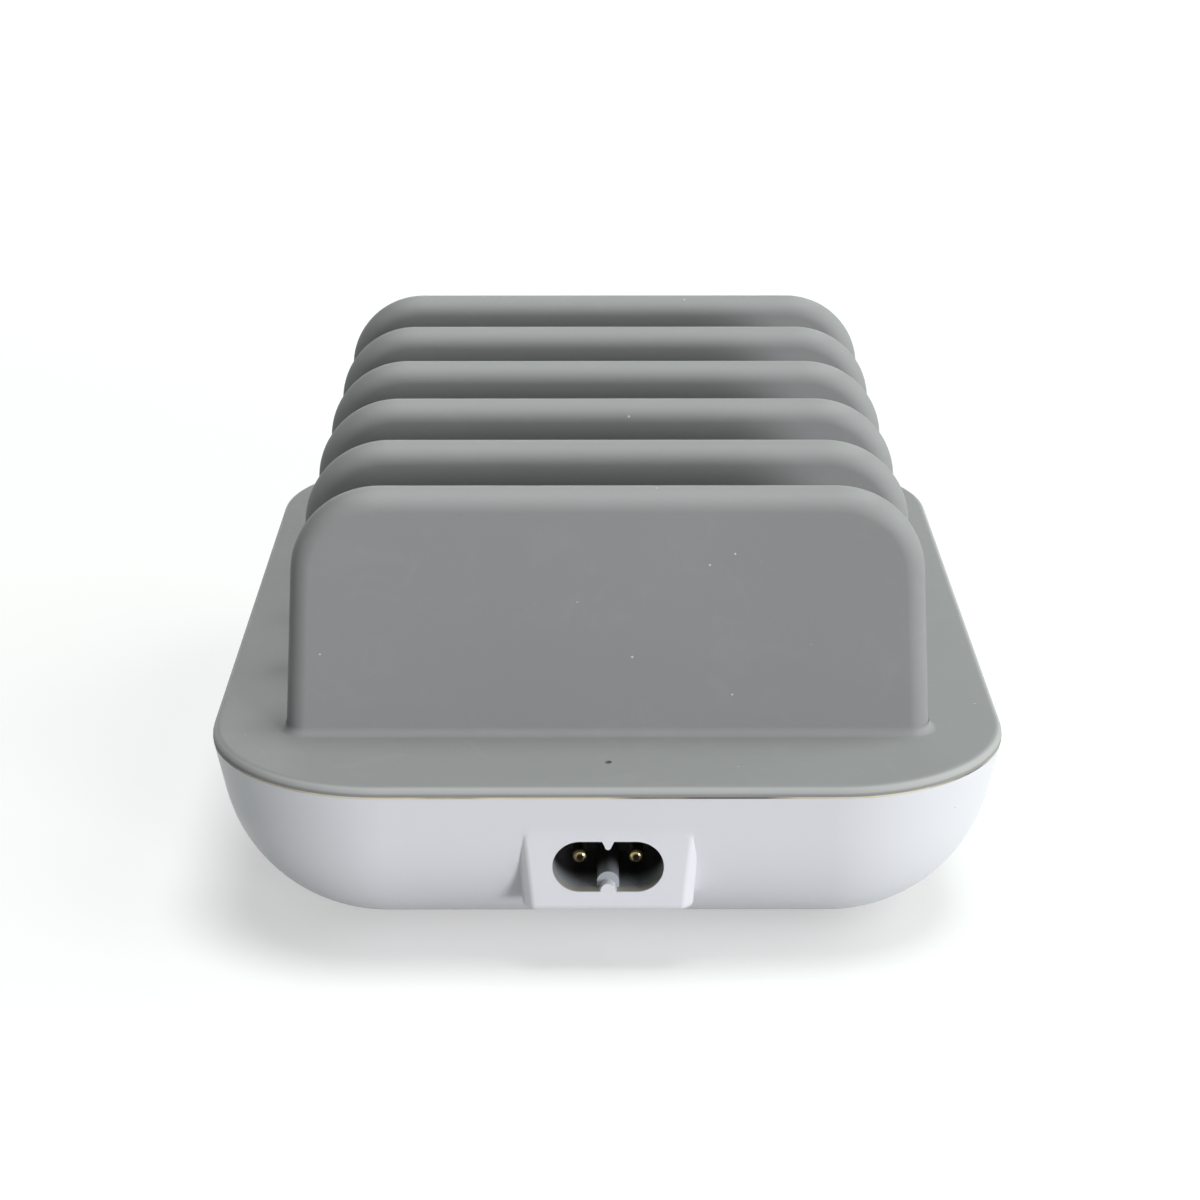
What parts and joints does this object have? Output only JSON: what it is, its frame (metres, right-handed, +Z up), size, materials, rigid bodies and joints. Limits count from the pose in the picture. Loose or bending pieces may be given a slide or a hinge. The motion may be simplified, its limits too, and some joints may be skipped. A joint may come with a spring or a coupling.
{
  "type": "charging station organizer",
  "caption": "Desktop charging station: pale bowl-shaped base with a mains inlet at the rear and charging sockets at the front, under a soft grey cover with upright fins that hold devices apart.",
  "frame": {"origin": "on the surface it stands on, under the middle of the base", "axes": "+X to the right seen from the mains inlet's end, +Y from the inlet towards the charging sockets, +Z up"},
  "size_m": [0.1254, 0.1656, 0.0715],
  "materials": {
    "silicone": "soft matt moulded silicone",
    "shell_plastic": "fine spark texture",
    "adhesive": "dried glue",
    "inlet_plastic": "moulded black",
    "pin_metal": "bright nickel plate",
    "foot_rubber": "matt moulded rubber",
    "deck_plastic": "moulded",
    "screw_steel": "zinc plate",
    "board_laminate": "solder mask",
    "port_steel": "nickel-plated sheet",
    "port_insulator": "moulded nylon",
    "contact_gold": "gold flash",
    "fuse_ceramic": "ceramic tube",
    "film_yellow": "potted box",
    "disc_blue": "dipped epoxy",
    "ferrite": "sintered ferrite",
    "copper_wire": "enamelled wire",
    "bobbin_plastic": "moulded",
    "component_black": "moulded epoxy",
    "can_sleeve": "sleeved can",
    "sink_aluminium": "bare sheet"
  },
  "bodies": {
    "root": {"silicone_cover": "silicone", "base_shell": "shell_plastic", "adhesive_ring": "adhesive", "deck_frame": "deck_plastic", "inlet_body": "inlet_plastic", "inlet_pin_live": "pin_metal", "inlet_pin_neutral": "pin_metal", "foot_rear_left": "foot_rubber", "foot_rear_right": "foot_rubber", "foot_front_left": "foot_rubber", "foot_front_right": "foot_rubber", "case_screws": "screw_steel", "board_screws": "screw_steel", "main_board": "board_laminate", "mains_fuse": "fuse_ceramic", "x_capacitor": "film_yellow", "varistor": "disc_blue", "choke_core": "ferrite", "choke_winding": "copper_wire", "bridge_rectifier": "component_black", "bulk_capacitor_1": "can_sleeve", "bulk_capacitor_2": "can_sleeve", "primary_heatsink": "sink_aluminium", "switch_transistor": "component_black", "transformer_core": "ferrite", "transformer_bobbin": "bobbin_plastic", "transformer_winding": "copper_wire", "y_capacitor": "disc_blue", "optocoupler": "component_black", "secondary_heatsink": "sink_aluminium", "output_rectifier": "component_black", "output_capacitors": "can_sleeve", "port_controllers": "component_black", "usb_shell_1": "port_steel", "usb_tongue_1": "port_insulator", "usb_contacts_1": "contact_gold", "usb_shell_2": "port_steel", "usb_tongue_2": "port_insulator", "usb_contacts_2": "contact_gold", "usb_shell_3": "port_steel", "usb_tongue_3": "port_insulator", "usb_contacts_3": "contact_gold", "usb_shell_4": "port_steel", "usb_tongue_4": "port_insulator", "usb_contacts_4": "contact_gold", "usb_shell_5": "port_steel", "usb_tongue_5": "port_insulator", "usb_contacts_5": "contact_gold"}
  },
  "joints": []
}
